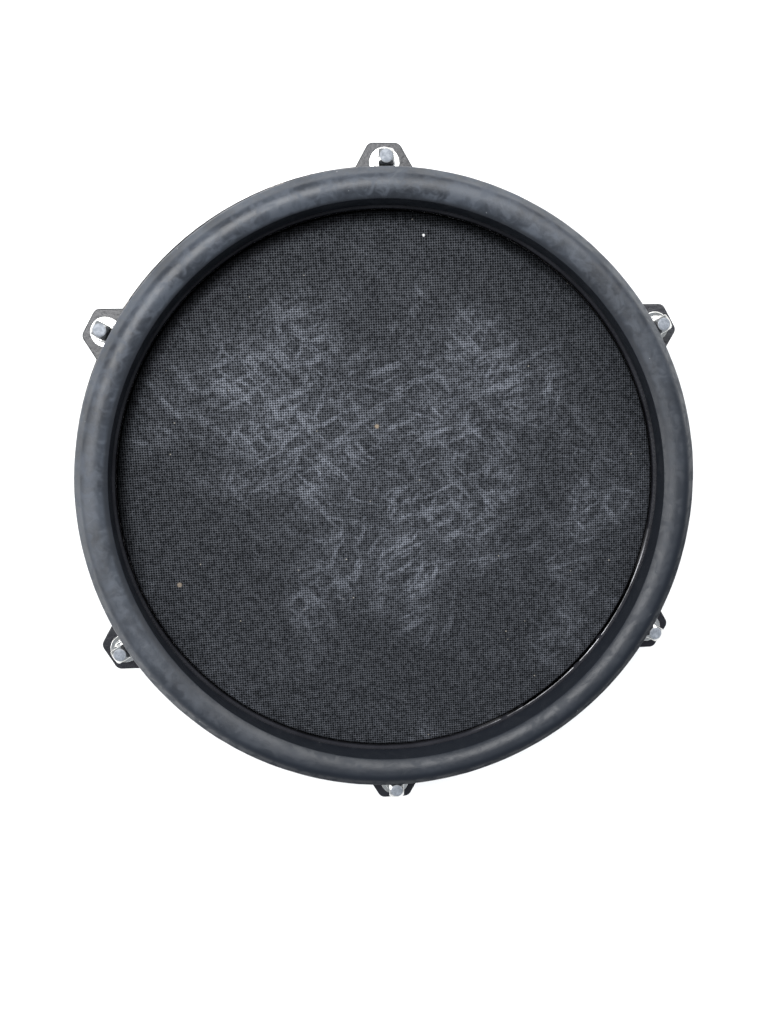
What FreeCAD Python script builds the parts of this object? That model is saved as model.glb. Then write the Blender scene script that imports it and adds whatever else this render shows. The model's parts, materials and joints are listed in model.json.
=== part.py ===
"""Mesh-head drum pad with a rubber-covered steel hoop, six tension rods and a trigger sensor inside.

Frame: millimetres, +Z up, origin on the table plane under the pad's centre. The six lugs stand at 30, 90, 150 ...
degrees round +Z, and the rod clamp and the jack socket face +X, between two lugs.
One closed solid, or one group of equal solids, goes to each parts/NODE.step.
"""
import FreeCAD
import Part
import math
import os

# Driving dimensions
HEAD_TOP = 48.0            # playing face of the mesh above the table
MESH_T = 0.5               # thickness of the two-ply mesh
EDGE_R = 102.4             # outer radius of the bearing wall, an 8 inch shell
EDGE_ROUND = 1.0           # rounding of the bearing wall's outer edge
BEAD_R = 6.3               # radius of the round rubber bead
BEAD_MID_R = 110.5         # bead's centre, from the pad's axis
BEAD_MID_Z = HEAD_TOP + 6.8
SKIRT_R = 104.6            # inner face of the rubber's skirt at its foot
CREASE_R = 105.0           # where the skirt meets the bead
STEEL_T = 1.8              # hoop sheet thickness
HOOP_WALL_R = 105.5        # inner face of the hoop's upright wall
HOOP_WALL_TOP = HEAD_TOP + 9.0
HOOP_SKIRT_R = 110.4       # inner face of the hoop's lower wall, outside the flesh hoop
FLESH_IN_R, FLESH_OUT_R = 105.4, 109.9
LIP_R = 104.15             # hoop's inner lip
EAR_TOP = HEAD_TOP - 6.4   # upper face of the hoop's flange and ears
FLANGE_R = 120.8
EAR_TIP_R = 129.0
EAR_TIP_HALF = 5.75        # half the width of the ear's straight tip
EAR_ROOT_R = 114.0         # where the ear runs into the flange
ROD_RING_R = 121.4         # the rods' circle
LUGS = 6
LUG_ANGLES = [30 + k * 360 / LUGS for k in range(LUGS)]
ROD_R = 2.75               # 7/32 inch rod, 24 threads per inch
ROD_HOLE_R = 3.2           # clearance for it in the ears
ROD_SHANK = 37.0
ROD_HEAD_RISE = 10.2       # top of the rod's head above the ear
KEY_HALF = 2.95            # half of the square head
KEY_TRIM_H, KEY_TRIM_R = 1.7, 2.15        # the cone that trims its corners, down to a small round top
COLLAR_R, COLLAR_T = 4.1, 1.8
WASHER_R, WASHER_T = 5.75, 1.2
DECK_TOP = 33.5            # shell's deck, under the hoop
DECK_T = 3.0
WALL_T = 2.8               # shell's side wall
SHELL_TOP_R = 118.0
SHELL_FOOT_R = 112.0
COVER_T = 2.5              # base cover
COVER_FOOT_R = 109.6
SIDE_SLOPE = math.tan(math.radians(30))   # the ears' sides lean 30 degrees from the radius
CLAMP_X, CLAMP_Z = 82.0, 14.0             # wing bolt's axis; the mount rod runs along X at y = 0
CLAMP_BORE_R = 5.3                        # takes a 10.5 mm mount rod
JACK_Y, JACK_Z, JACK_FACE_X = -31.0, 15.0, 102.5
JACK_BORE_R = 3.25                        # takes a 6.35 mm plug
JACK_RECESS_R, BUSH_R = 9.5, 4.6
PLATE_Z, PLATE_T = DECK_TOP + 3.0, 1.2    # sensor plate on its grommets

Z_AXIS = FreeCAD.Vector(0, 0, 1)
X_AXIS = FreeCAD.Vector(1, 0, 0)
Y_AXIS = FreeCAD.Vector(0, 1, 0)
ORIGIN = FreeCAD.Vector(0, 0, 0)


def vec(x, y, z=0.0):
    return FreeCAD.Vector(x, y, z)


def cyl(r, z0, z1, x=0.0, y=0.0):
    return Part.makeCylinder(r, z1 - z0, vec(x, y, z0), Z_AXIS)


def rod_x(r, x0, x1, y, z):
    return Part.makeCylinder(r, x1 - x0, vec(x0, y, z), X_AXIS)


def rod_y(r, y0, y1, x, z):
    return Part.makeCylinder(r, y1 - y0, vec(x, y0, z), Y_AXIS)


def box(x0, x1, y0, y1, z0, z1):
    return Part.makeBox(x1 - x0, y1 - y0, z1 - z0, vec(x0, y0, z0))


def tube(r_in, r_out, z0, z1, x=0.0, y=0.0):
    return cyl(r_out, z0, z1, x, y).cut(cyl(r_in, z0 - 1, z1 + 1, x, y))


def turned(shape, degrees):
    """A copy of shape, turned about the pad's axis."""
    copy = shape.copy()
    copy.rotate(ORIGIN, Z_AXIS, degrees)
    return copy


def round_the_lugs(shape_at_zero):
    """Six copies of a shape made at angle 0, one at each lug."""
    return [turned(shape_at_zero, a) for a in LUG_ANGLES]


def rounded_wire(points):
    """A closed wire through (x, y, z, radius) corners, each corner rounded to its radius."""
    n = len(points)
    spots = [vec(*p[:3]) for p in points]
    ends = []
    for i in range(n):
        here, before, after = spots[i], spots[i - 1], spots[(i + 1) % n]
        u, v = (before - here).normalize(), (after - here).normalize()
        half = u.getAngle(v) / 2
        r = points[i][3]
        if r <= 0:
            ends.append((here, None, here))
            continue
        reach = r / math.tan(half)
        middle = here + (u + v).normalize() * (r / math.sin(half) - r)
        ends.append((here + u * reach, middle, here + v * reach))
    edges = []
    for i in range(n):
        first, middle, last = ends[i]
        if middle is not None:
            edges.append(Part.Arc(first, middle, last).toShape())
        following = ends[(i + 1) % n][0]
        if last.distanceToPoint(following) > 1e-6:
            edges.append(Part.LineSegment(last, following).toShape())
    return Part.Wire(edges)


def lathe(profile):
    """A solid turned about the pad's axis from (radius, height, corner radius) points."""
    wire = rounded_wire([(r, 0.0, z, c) for r, z, c in profile])
    return Part.Face(wire).revolve(ORIGIN, Z_AXIS, 360)


def plate(outline, z0, z1):
    """A flat plate from (x, y, corner radius) points."""
    wire = rounded_wire([(x, y, z0, c) for x, y, c in outline])
    return Part.Face(wire).extrude(vec(0, 0, z1 - z0))


def cross_slot(x, y, z, half, width, depth):
    """A cross recess that goes down from z into a screw head."""
    arm = box(x - half, x + half, y - width / 2, y + width / 2, z - depth, z + 1)
    other = box(x - width / 2, x + width / 2, y - half, y + half, z - depth, z + 1)
    return arm.fuse(other)


def hexagon(across_flats, z0, z1):
    r = across_flats / math.sqrt(3)
    corners = [(r * math.cos(math.radians(60 * k)), r * math.sin(math.radians(60 * k)), 0.0) for k in range(6)]
    return plate(corners, z0, z1)


def one_of(solids):
    return solids[0].fuse(solids[1:]) if len(solids) > 1 else solids[0]


# Head, hoop and rim

def rim_cover():
    """Rubber extrusion: a round bead with a thin inner skirt, pushed down over the hoop's steel wall."""
    skirt_foot = HEAD_TOP + 1.6
    slot_out = HOOP_WALL_R + STEEL_T

    def on_bead(r, side):
        return BEAD_MID_Z + side * math.sqrt(BEAD_R ** 2 - (r - BEAD_MID_R) ** 2)

    crown_start = vec(CREASE_R, 0, on_bead(CREASE_R, 1))
    crest = vec(BEAD_MID_R, 0, BEAD_MID_Z + BEAD_R)
    widest = vec(BEAD_MID_R + BEAD_R, 0, BEAD_MID_Z)
    low = math.radians(-50)
    under = vec(BEAD_MID_R + BEAD_R * math.cos(low), 0, BEAD_MID_Z + BEAD_R * math.sin(low))
    crown_end = vec(slot_out, 0, on_bead(slot_out, -1))
    corners = [crown_end, vec(slot_out, 0, HOOP_WALL_TOP), vec(HOOP_WALL_R, 0, HOOP_WALL_TOP),
               vec(HOOP_WALL_R, 0, skirt_foot), vec(SKIRT_R, 0, skirt_foot), crown_start]
    edges = [Part.Arc(crown_start, crest, widest).toShape(), Part.Arc(widest, under, crown_end).toShape()]
    edges += [Part.LineSegment(a, b).toShape() for a, b in zip(corners, corners[1:])]
    return Part.Face(Part.Wire(edges)).revolve(ORIGIN, Z_AXIS, 360)


def ear_outline(root_r, inset=0.0):
    """Outline of one ear at angle 0: a straight tip with sides that widen towards the axis."""
    corner = 3.0
    tip = EAR_TIP_R - inset
    half = EAR_TIP_HALF - inset * 0.5
    root_half = half + (tip - root_r) * SIDE_SLOPE
    return [(root_r, -root_half, 0.0), (tip, -half, corner), (tip, half, corner), (root_r, root_half, 0.0)]


def upper_rims(shape, z):
    """The level edges of a shape that lie above z."""
    return [e for e in shape.Edges if e.BoundBox.ZLength < 1e-6 and e.BoundBox.ZMin > z]


def counter_hoop():
    """Stamped steel hoop: flange with six ears, a step that presses the flesh hoop, and a wall for the rubber."""
    step_top = HEAD_TOP - 1.0
    step_foot = step_top - STEEL_T
    flange_foot = EAR_TOP - STEEL_T
    wall_out, skirt_out = HOOP_WALL_R + STEEL_T, HOOP_SKIRT_R + STEEL_T
    body = lathe([
        (HOOP_SKIRT_R, flange_foot, 0.6), (FLANGE_R, flange_foot, 0.4), (FLANGE_R, EAR_TOP, 0.6),
        (skirt_out, EAR_TOP, 1.0), (skirt_out, step_top, 1.6),
        (wall_out, step_top, 0.8), (wall_out, HOOP_WALL_TOP, 0.5), (HOOP_WALL_R, HOOP_WALL_TOP, 0.5),
        (HOOP_WALL_R, step_top + 1.15, 0.6), (LIP_R, step_top + 0.5, 0.6), (LIP_R, step_foot, 0.8),
        (HOOP_SKIRT_R, step_foot, 0.5),
    ])
    ear = plate(ear_outline(EAR_ROOT_R), flange_foot, EAR_TOP)
    rim = [e for e in ear.Edges if e.BoundBox.ZLength < 1e-6 and e.BoundBox.XMax > EAR_ROOT_R + 0.1]
    ear = ear.makeFillet(0.55, rim)
    hole = cyl(ROD_HOLE_R, flange_foot - 1, EAR_TOP + 1, ROD_RING_R)
    return body.fuse(round_the_lugs(ear)).removeSplitter().cut(one_of(round_the_lugs(hole)))


def flesh_hoop():
    """Aluminium ring round the mesh, held down by the hoop's step."""
    foot, top = HEAD_TOP - 8.6, HEAD_TOP - 2.85
    return lathe([(FLESH_IN_R, foot, 0.5), (FLESH_OUT_R, foot, 0.8), (FLESH_OUT_R, top, 0.8),
                  (FLESH_IN_R, top, 0.8)])


def mesh_head():
    """Two-ply woven mesh: flat over the pad, round the bearing edge and down to the flesh hoop."""
    under = HEAD_TOP - MESH_T
    edge_in, edge_out = EDGE_R + 0.12, EDGE_R + 0.12 + MESH_T
    flare_z, skirt_z = HEAD_TOP - 4.3, HEAD_TOP - 7.2
    skirt_end_r = FLESH_IN_R - MESH_T - 0.2
    return lathe([
        (0, under, 0), (edge_in, under, EDGE_ROUND + 0.1), (edge_in, flare_z, 4.0), (skirt_end_r, skirt_z, 0),
        (skirt_end_r + MESH_T, skirt_z + 0.25, 0), (edge_out, flare_z + 0.1, 4.0),
        (edge_out, HEAD_TOP, EDGE_ROUND + 0.1 + MESH_T), (0, HEAD_TOP, 0),
    ])


def tension_rod():
    """Chromed drum-key rod at angle 0: square head with a trimmed top, collar and shank."""
    collar_z = EAR_TOP + WASHER_T
    head_z, head_top = collar_z + COLLAR_T, EAR_TOP + ROD_HEAD_RISE
    shank_end = collar_z - ROD_SHANK
    corners = [(ROD_RING_R + KEY_HALF * sx, KEY_HALF * sy, 0.5) for sx, sy in ((-1, -1), (1, -1), (1, 1), (-1, 1))]
    key = plate(corners, head_z - 0.2, head_top)
    trim_z = head_top - KEY_TRIM_H
    trim = Part.makeCone(KEY_HALF + 1.3, KEY_TRIM_R, KEY_TRIM_H, vec(ROD_RING_R, 0, trim_z), Z_AXIS)
    key = key.common(trim.fuse(cyl(2 * KEY_HALF, head_z - 1, trim_z, ROD_RING_R)))
    collar = cyl(COLLAR_R, collar_z, head_z, ROD_RING_R)
    collar = collar.makeFillet(0.7, upper_rims(collar, collar_z + 1))
    shank = cyl(ROD_R, shank_end, collar_z + 0.1, ROD_RING_R)
    shank = shank.makeChamfer(0.7, [e for e in shank.Edges if abs(e.BoundBox.ZMax - shank_end) < 1e-6])
    return key.fuse([collar, shank]).removeSplitter()


def tension_washers():
    washer = tube(ROD_HOLE_R - 0.1, WASHER_R, EAR_TOP, EAR_TOP + WASHER_T, ROD_RING_R)
    return Part.makeCompound(round_the_lugs(washer.makeFillet(0.35, upper_rims(washer, EAR_TOP + 0.6))))


# Shell and base

PILOT_R = 1.3
BASE_SCREW_R, BASE_SCREW_TIP = 94.0, 14.0
POCKET = {"x0": 60.0, "y0": -17.0, "y1": 40.0, "top": 27.0}   # room for the clamp and the wing bolt
POCKET_WALL = 2.5
INSERT_R, INSERT_Z = 4.5, 23.5
TOWER_FOOT = 4.0
BOSS_R = 4.6
BEARING_T = 3.8                            # bearing wall's thickness
CLAMP_SCREW_R = 1.7
CLAMP_SCREWS = [(CLAMP_X + dx, dy) for dx in (-12.0, 12.0) for dy in (-8.6, 8.6)]
GROMMET_RING_R, GROMMET_ANGLES = 72.0, (45, 135, 225, 315)
GROMMETS = [(GROMMET_RING_R * math.cos(math.radians(a)), GROMMET_RING_R * math.sin(math.radians(a)))
            for a in GROMMET_ANGLES]
LEAD_HOLE = (50.0, JACK_Y)
LEAD_HOLE_R = 4.8


def pocket(grow=0.0, floor=-1.0):
    """The clamp's pocket, open below and out through the side."""
    return box(POCKET["x0"] - grow, 140.0, POCKET["y0"] - grow, POCKET["y1"] + grow, floor, POCKET["top"] + grow)


def shell_cone(inset):
    """The shell's tapered outside, as a solid, drawn in by inset."""
    height = DECK_TOP - COVER_T
    return Part.makeCone(SHELL_FOOT_R - inset, SHELL_TOP_R - inset, height, vec(0, 0, COVER_T), Z_AXIS)


def shell():
    """Moulded shell: bearing wall, deck, tapered side wall, six lug towers and the clamp's pocket."""
    deck_foot = DECK_TOP - DECK_T
    slope = (SHELL_TOP_R - SHELL_FOOT_R) / (DECK_TOP - COVER_T)
    inner_top = SHELL_FOOT_R - WALL_T + slope * (deck_foot - COVER_T)
    edge_top = HEAD_TOP - MESH_T - 0.05
    body = lathe([
        (0, deck_foot, 0), (inner_top, deck_foot, 1.5), (SHELL_FOOT_R - WALL_T, COVER_T, 0),
        (SHELL_FOOT_R, COVER_T, 0), (SHELL_TOP_R, DECK_TOP, 2.5), (EDGE_R, DECK_TOP, 1.5),
        (EDGE_R, edge_top, EDGE_ROUND), (EDGE_R - BEARING_T, edge_top, 1.2), (EDGE_R - BEARING_T, DECK_TOP, 1.5),
        (0, DECK_TOP, 0),
    ])
    tower = plate(ear_outline(HOOP_SKIRT_R + 0.1, inset=1.8), TOWER_FOOT, DECK_TOP)
    top_edges = [e for e in tower.Edges
                 if e.BoundBox.ZMin > DECK_TOP - 1e-6 and e.BoundBox.XMax > 115.0]
    towers = round_the_lugs(tower.makeFillet(0.8, top_edges))
    bosses = [turned(cyl(BOSS_R, COVER_T, deck_foot, BASE_SCREW_R), a) for a in LUG_ANGLES]
    outside = shell_cone(0.0)
    ceiling = box(POCKET["x0"] - POCKET_WALL, 120.0, POCKET["y0"] - POCKET_WALL, POCKET["y1"] + POCKET_WALL,
                  COVER_T, deck_foot)
    jack_wall = box(JACK_FACE_X - WALL_T, 120.0, JACK_Y - 13.0, JACK_Y + 13.0, COVER_T, deck_foot)
    ribs = [turned(box(30.0, BASE_SCREW_R - 4.0, -1.0, 1.0, deck_foot - 6.0, deck_foot), a)
            for a in (90, 150, 210, 270)]
    hub = tube(28.0, 30.5, deck_foot - 6.0, deck_foot)
    body = body.fuse(towers + bosses + ribs + [hub, ceiling.common(outside), jack_wall.common(outside)])
    cuts = [pocket()]
    cuts += [rod_x(JACK_RECESS_R, JACK_FACE_X, 130.0, JACK_Y, JACK_Z)]
    cuts += [rod_x(BUSH_R + 0.05, 80.0, 130.0, JACK_Y, JACK_Z)]
    cuts += round_the_lugs(cyl(ROD_HOLE_R + 0.1, -1.0, DECK_TOP + 1, ROD_RING_R))
    cuts += round_the_lugs(cyl(INSERT_R, INSERT_Z, DECK_TOP + 1, ROD_RING_R))
    cuts += [turned(cyl(PILOT_R, 0.0, BASE_SCREW_TIP + 3.0, BASE_SCREW_R), a) for a in LUG_ANGLES]
    cuts += [cyl(PILOT_R, DECK_TOP - 2.4, DECK_TOP + 1, x, y) for x, y in GROMMETS]
    cuts += [cyl(CLAMP_SCREW_R + 0.05, 20.0, DECK_TOP - 1.2, x, y) for x, y in CLAMP_SCREWS]
    cuts += [cyl(LEAD_HOLE_R, 20.0, DECK_TOP + 1, *LEAD_HOLE)]
    return body.cut(cuts).removeSplitter()


def lug_inserts():
    """Threaded brass inserts in the lug towers, flush with the tower's top."""
    insert = tube(ROD_R + 0.08, INSERT_R, INSERT_Z, DECK_TOP, ROD_RING_R)
    return Part.makeCompound(round_the_lugs(insert))


def base_cover():
    """Flat cover under the shell, notched for the clamp's pocket, with a locating rib."""
    disc = Part.makeCone(COVER_FOOT_R, SHELL_FOOT_R, COVER_T, ORIGIN, Z_AXIS)
    rib_out = SHELL_FOOT_R - WALL_T - 0.1
    rib = tube(rib_out - 1.8, rib_out, COVER_T - 0.1, COVER_T + 3.0)
    clear = [turned(box(BASE_SCREW_R - 6.0, 120.0, -9.0, 9.0, COVER_T, 20.0), a) for a in LUG_ANGLES]
    clear += [box(JACK_FACE_X - WALL_T - 1.0, 120.0, JACK_Y - 14.0, JACK_Y + 14.0, COVER_T, 20.0)]
    rib = rib.cut(clear)
    body = disc.fuse(rib)
    notch = pocket(POCKET_WALL + 0.1).fuse(box(POCKET["x0"], 140, POCKET["y0"], POCKET["y1"], -1, 20))
    groove = tube(84.0, 85.4, -1.0, 0.6)
    panel = plate([(x, y, 3.0) for x, y in ((-62, -17), (-10, -17), (-10, 17), (-62, 17))], -1.0, 0.5)
    cuts = [notch, groove, panel]
    for a in LUG_ANGLES:
        cuts.append(turned(cyl(1.6, -1.0, COVER_T + 1, BASE_SCREW_R), a))
        cuts.append(turned(Part.makeCone(3.05, 1.6, 1.45, vec(BASE_SCREW_R, 0, 0), Z_AXIS), a))
    return body.cut(cuts).removeSplitter()


def base_screws():
    """Countersunk screws that hold the base cover, each with a cross recess."""
    head = Part.makeCone(2.95, 1.45, 1.45, vec(BASE_SCREW_R, 0, 0.05), Z_AXIS)
    shank = cyl(1.25, 1.0, BASE_SCREW_TIP, BASE_SCREW_R)
    shank = shank.makeChamfer(0.6, [e for e in shank.Edges if e.BoundBox.ZMin > BASE_SCREW_TIP - 1e-6])
    recess = cross_slot(BASE_SCREW_R, 0, 1.0, 1.7, 0.6, 1.0)
    return Part.makeCompound(round_the_lugs(head.fuse(shank).removeSplitter().cut(recess)))


# Trigger sensor

CUSHION_R, CUSHION_T = 14.0, 2.0
HEAD_DISC_R, RIM_DISC_R, DISC_T = 13.5, 10.0, 0.3
PLATE_HOLE = (17.6, -9.6)                  # the head sensor's lead goes down through it
RIM_SENSOR = (-46.0, -34.0)
PLATE_TOP = PLATE_Z + PLATE_T
DISC_Z = PLATE_TOP + CUSHION_T


def sensor_plate():
    """Steel disc that carries both sensors."""
    disc = cyl(92.0, PLATE_Z, PLATE_TOP)
    holes = [cyl(3.0, PLATE_Z - 1, PLATE_TOP + 1, x, y) for x, y in GROMMETS]
    holes.append(cyl(2.6, PLATE_Z - 1, PLATE_TOP + 1, *PLATE_HOLE))
    return disc.cut(holes)


def plate_grommets():
    """Rubber grommets that hold the plate off the deck."""
    made = []
    for x, y in GROMMETS:
        lower = cyl(4.5, DECK_TOP, PLATE_Z, x, y)
        neck = cyl(2.95, PLATE_Z, PLATE_TOP, x, y)
        upper = cyl(4.5, PLATE_TOP, PLATE_TOP + 1.4, x, y)
        made.append(lower.fuse([neck, upper]).removeSplitter().cut(cyl(1.5, DECK_TOP - 1, PLATE_TOP + 3, x, y)))
    return Part.makeCompound(made)


def plate_screws():
    made = []
    top = PLATE_TOP + 1.4
    for x, y in GROMMETS:
        head = cyl(3.2, top, top + 1.8, x, y)
        head = head.makeFillet(0.9, [e for e in head.Edges if e.BoundBox.ZMin > top + 1.7])
        shank = cyl(1.25, DECK_TOP - 2.2, top + 0.1, x, y)
        made.append(head.fuse(shank).removeSplitter().cut(cross_slot(x, y, top + 1.8, 1.7, 0.6, 1.0)))
    return Part.makeCompound(made)


def damping_foam():
    """Foam ring on the plate, clear of the grommets and of the mesh."""
    ring = tube(24.0, 90.0, PLATE_TOP, PLATE_TOP + 6.3)
    return ring.cut([cyl(6.0, PLATE_TOP - 1, PLATE_TOP + 8, x, y) for x, y in GROMMETS])


def piezo_cushion():
    return cyl(CUSHION_R, PLATE_TOP, DISC_Z)


def head_piezo_disc():
    return cyl(HEAD_DISC_R, DISC_Z, DISC_Z + DISC_T)


def head_piezo_ceramic():
    return cyl(10.0, DISC_Z + DISC_T, DISC_Z + 2 * DISC_T)


def trigger_cone():
    """Foam cone that carries the stroke from the mesh to the head sensor."""
    foot = DISC_Z + 2 * DISC_T
    return Part.makeCone(9.8, 7.0, HEAD_TOP - MESH_T - 0.05 - foot, vec(0, 0, foot), Z_AXIS)


def rim_piezo_tape():
    return cyl(RIM_DISC_R, PLATE_Z - 0.8, PLATE_Z, *RIM_SENSOR)


def rim_piezo_disc():
    return cyl(RIM_DISC_R, PLATE_Z - 0.8 - DISC_T, PLATE_Z - 0.8, *RIM_SENSOR)


def rim_piezo_ceramic():
    return cyl(7.0, PLATE_Z - 0.8 - 2 * DISC_T, PLATE_Z - 0.8 - DISC_T, *RIM_SENSOR)


LEAD_R = 0.7


def lead(route):
    """A round lead along straight runs joined by tangent arcs, each arc as large as its runs allow."""
    spots = [vec(*p) for p in route]
    edges = []
    start = spots[0]
    for before, here, after in zip(spots, spots[1:], spots[2:]):
        u, v = (before - here).normalize(), (after - here).normalize()
        turn = math.pi - u.getAngle(v)
        reach = 0.45 * min(here.distanceToPoint(before), here.distanceToPoint(after))
        r = reach / math.tan(turn / 2)
        middle = here + (u + v).normalize() * (r / math.cos(turn / 2) - r)
        edges.append(Part.LineSegment(start, here + u * reach).toShape())
        edges.append(Part.Arc(here + u * reach, middle, here + v * reach).toShape())
        start = here + v * reach
    edges.append(Part.LineSegment(start, spots[-1]).toShape())
    path = Part.Wire(edges)
    tangent = spots[1] - spots[0]
    section = Part.Wire([Part.makeCircle(LEAD_R, spots[0], tangent)])
    made = path.makePipeShell([section], True, False)
    print("lead volume / (section x length):", round(made.Volume / (math.pi * LEAD_R ** 2 * path.Length), 4))
    return made


def head_sensor_lead():
    x, y = PLATE_HOLE
    hx, hy = LEAD_HOLE
    low = DECK_TOP + 1.2
    on_lug = LUG_ROWS[0] + 0.2 + LEAD_R + 0.05
    return lead([(11.6, -3.0, DISC_Z + DISC_T + LEAD_R + 0.1), (15.4, -7.6, DISC_Z + 0.9),
                 (x, y - 0.4, PLATE_TOP - 0.6), (x + 2.2, y - 3.0, low + 0.2), (x + 9.5, y - 9.0, low),
                 (x + 20.5, y - 15.8, low), (hx - 4.6, hy + 1.4, low + 0.2), (hx + 0.8, hy + 1.1, 32.6),
                 (hx + 0.9, hy + 1.1, 26.6), (hx + 4.6, hy + 0.9, 21.6), (hx + 11.6, hy, on_lug),
                 (hx + 17.4, hy, on_lug - 0.01), (hx + 23.4, hy, on_lug)])


def rim_sensor_lead():
    x, y = RIM_SENSOR
    hx, hy = LEAD_HOLE
    low = DECK_TOP + 1.0
    on_lug = LUG_ROWS[1] - 0.2 - LEAD_R - 0.05
    return lead([(x + 8.2, y - 0.9, low + 0.15), (x + 20.0, y - 3.2, low), (x + 38.0, y - 6.6, low),
                 (x + 60.0, y - 7.2, low), (x + 78.0, y - 3.4, low), (hx - 4.4, hy - 1.9, low + 0.3),
                 (hx + 1.2, hy - 1.2, 32.6), (hx + 1.2, hy - 1.2, 25.0), (hx + 4.2, hy - 1.0, 16.6),
                 (hx + 10.6, hy - 0.3, on_lug + 0.6), (hx + 16.8, hy, on_lug), (hx + 23.4, hy, on_lug + 0.01)])


def lead_grommet():
    """Rubber bush in the deck, where both leads pass."""
    x, y = LEAD_HOLE
    deck_foot = DECK_TOP - DECK_T
    body = cyl(LEAD_HOLE_R, deck_foot, DECK_TOP, x, y).fuse(cyl(6.0, deck_foot - 0.9, deck_foot, x, y))
    return body.removeSplitter().cut(cyl(3.7, deck_foot - 2, DECK_TOP + 1, x, y))


# Jack socket

JACK_BODY_X0 = JACK_FACE_X - WALL_T - 25.0
LUG_ROWS = (JACK_Z + 3.9, JACK_Z - 3.9)


def jack_contacts():
    """Tip and ring springs above and below the plug's path, and their solder lugs at the back."""
    tail = JACK_BODY_X0 - 5.0
    made = [box(tail, JACK_BODY_X0 + 17.0, JACK_Y - 1.5, JACK_Y + 1.5, z - 0.2, z + 0.2) for z in LUG_ROWS]
    made.append(box(tail, JACK_BODY_X0 + 1.0, JACK_Y + 4.4, JACK_Y + 4.8, JACK_Z - 1.5, JACK_Z + 1.5))
    return Part.makeCompound(made)


def jack_body():
    x1 = JACK_FACE_X - WALL_T
    body = box(JACK_BODY_X0, x1, JACK_Y - 8.0, JACK_Y + 8.0, JACK_Z - 7.0, JACK_Z + 7.0)
    body = body.makeChamfer(1.0, [e for e in body.Edges if e.BoundBox.XLength > 20])
    body = body.cut([rod_x(4.4, JACK_BODY_X0 + 2.0, x1 + 1, JACK_Y, JACK_Z),
                     rod_x(BUSH_R, x1 - 3.0, x1 + 1, JACK_Y, JACK_Z)])
    return body.cut(jack_contacts().Solids)


def jack_bush():
    bush = rod_x(BUSH_R, JACK_FACE_X - WALL_T - 3.0, JACK_FACE_X + 4.6, JACK_Y, JACK_Z)
    bore = rod_x(JACK_BORE_R, JACK_FACE_X - WALL_T - 4.0, JACK_FACE_X + 6.0, JACK_Y, JACK_Z)
    bush = bush.cut(bore)
    rims = [e for e in bush.Edges if e.BoundBox.XLength < 1e-6 and e.BoundBox.XMin > JACK_FACE_X + 4.5
            and e.BoundBox.YLength > 8.0]
    return bush.makeChamfer(0.5, rims)


def jack_washer():
    ring = rod_x(7.6, JACK_FACE_X, JACK_FACE_X + 0.6, JACK_Y, JACK_Z)
    return ring.cut(rod_x(BUSH_R + 0.02, JACK_FACE_X - 1, JACK_FACE_X + 2, JACK_Y, JACK_Z))


def jack_nut():
    nut = hexagon(12.7, 0.0, 2.4).cut(cyl(BUSH_R + 0.02, -1.0, 4.0))
    crown = Part.makeCone(7.6, 6.3, 1.2, vec(0, 0, 1.4), Z_AXIS).fuse(cyl(8.0, -1.0, 1.4))
    nut = nut.common(crown)
    nut.rotate(ORIGIN, Y_AXIS, 90)
    nut.translate(vec(JACK_FACE_X + 0.6, JACK_Y, JACK_Z))
    return nut


# Rod clamp

JAW_HALF_X, JAW_HALF_Z = 5.8, 5.3
BOLT_R = 3.0               # M6 x 1.0
BLOCK_Y1 = 12.0
NUT_Y0, NUT_Y1 = 11.8, 16.8
CLAMP_HEAD_R, CLAMP_HEAD_TOP = 3.5, 6.0


def clamp_body():
    """Cast block under the deck: the mount rod's bore, the jaw's slot and the captive nut's seat."""
    block = box(CLAMP_X - 17.0, CLAMP_X + 17.0, -12.5, BLOCK_Y1, 3.0, POCKET["top"])
    block = block.makeFillet(2.5, [e for e in block.Edges if e.BoundBox.ZLength > 20])
    boss = box(CLAMP_X - 9.0, CLAMP_X + 9.0, BLOCK_Y1 - 1.0, 18.5, CLAMP_Z - 9.0, CLAMP_Z + 9.0)
    boss = boss.makeFillet(2.0, [e for e in boss.Edges if e.BoundBox.YLength > 7])
    block = block.fuse(boss).removeSplitter()
    mouth = Part.makeCone(CLAMP_BORE_R, CLAMP_BORE_R + 1.2, 1.2, vec(CLAMP_X + 15.8, 0, CLAMP_Z), X_AXIS)
    seat = hexagon(10.1, 0.0, NUT_Y1 - NUT_Y0)
    seat.rotate(ORIGIN, X_AXIS, -90)
    seat.translate(vec(CLAMP_X, NUT_Y0, CLAMP_Z))
    cuts = [rod_x(CLAMP_BORE_R, CLAMP_X - 20.0, CLAMP_X + 20.0, 0.0, CLAMP_Z), mouth, seat,
            box(CLAMP_X - JAW_HALF_X - 0.1, CLAMP_X + JAW_HALF_X + 0.1, 0.0, NUT_Y0,
                CLAMP_Z - JAW_HALF_Z - 0.1, CLAMP_Z + JAW_HALF_Z + 0.1),
            rod_y(BOLT_R + 0.4, NUT_Y0, 25.0, CLAMP_X, CLAMP_Z)]
    for x, y in CLAMP_SCREWS:
        cuts += [cyl(CLAMP_SCREW_R + 0.4, 0.0, 30.0, x, y), cyl(CLAMP_HEAD_R + 0.2, 0.0, CLAMP_HEAD_TOP, x, y)]
    return block.cut(cuts)


def clamp_screws():
    made = []
    for x, y in CLAMP_SCREWS:
        head = cyl(CLAMP_HEAD_R, 3.4, CLAMP_HEAD_TOP, x, y)
        shank = cyl(CLAMP_SCREW_R, CLAMP_HEAD_TOP - 0.5, DECK_TOP - 1.6, x, y)
        made.append(head.fuse(shank).removeSplitter().cut(cross_slot(x, y, 4.6, 1.9, 0.7, 1.2).common(head)))
    return Part.makeCompound(made)


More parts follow.
